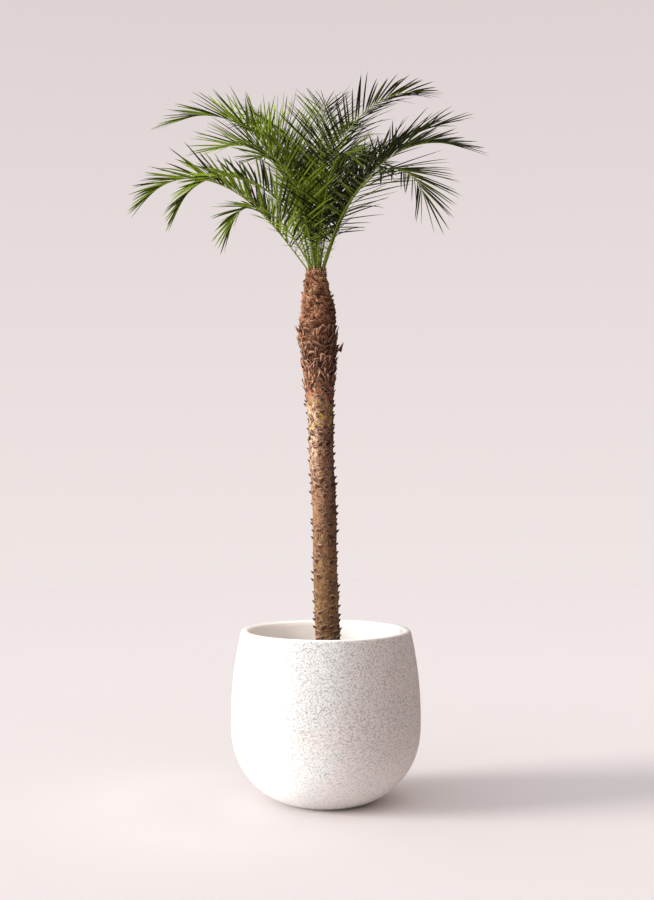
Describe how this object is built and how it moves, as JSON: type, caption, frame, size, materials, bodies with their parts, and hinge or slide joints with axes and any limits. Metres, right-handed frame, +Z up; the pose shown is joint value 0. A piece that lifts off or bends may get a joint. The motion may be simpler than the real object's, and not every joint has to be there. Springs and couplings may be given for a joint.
{
  "type": "potted pygmy date palm",
  "caption": "Slender feather palm with a stubbed trunk, a fibrous head and an arching crown, standing in soil in a round bellied white pot.",
  "frame": {"origin": "centre of the pot's flat base, on the surface that it stands on", "axes": "+Z up along the trunk, +X to the right and the front of the plant looking along -Y"},
  "size_m": [0.9182, 0.8687, 1.9507],
  "materials": {
    "pot": "matte, sandy and finely pitted",
    "soil": "crumbly and dull",
    "trunk": "rough bark with leaf scars",
    "frond": "leathery with a low sheen",
    "spear": "leathery with a low sheen"
  },
  "bodies": {
    "root": {"pot": "pot", "soil": "soil", "trunk": "trunk", "frond_left_low": "frond", "frond_left_mid": "frond", "frond_left_front_low": "frond", "frond_left_high": "frond", "frond_front_left_high": "frond", "frond_front_left": "frond", "frond_front": "frond", "frond_front_right": "frond", "frond_right_low": "frond", "frond_right_high": "frond", "frond_right_mid": "frond", "frond_back_right": "frond", "frond_back": "frond", "frond_back_left": "frond", "frond_in_back_left": "frond", "frond_in_back": "frond", "frond_in_front": "frond", "spear": "spear"}
  },
  "joints": []
}
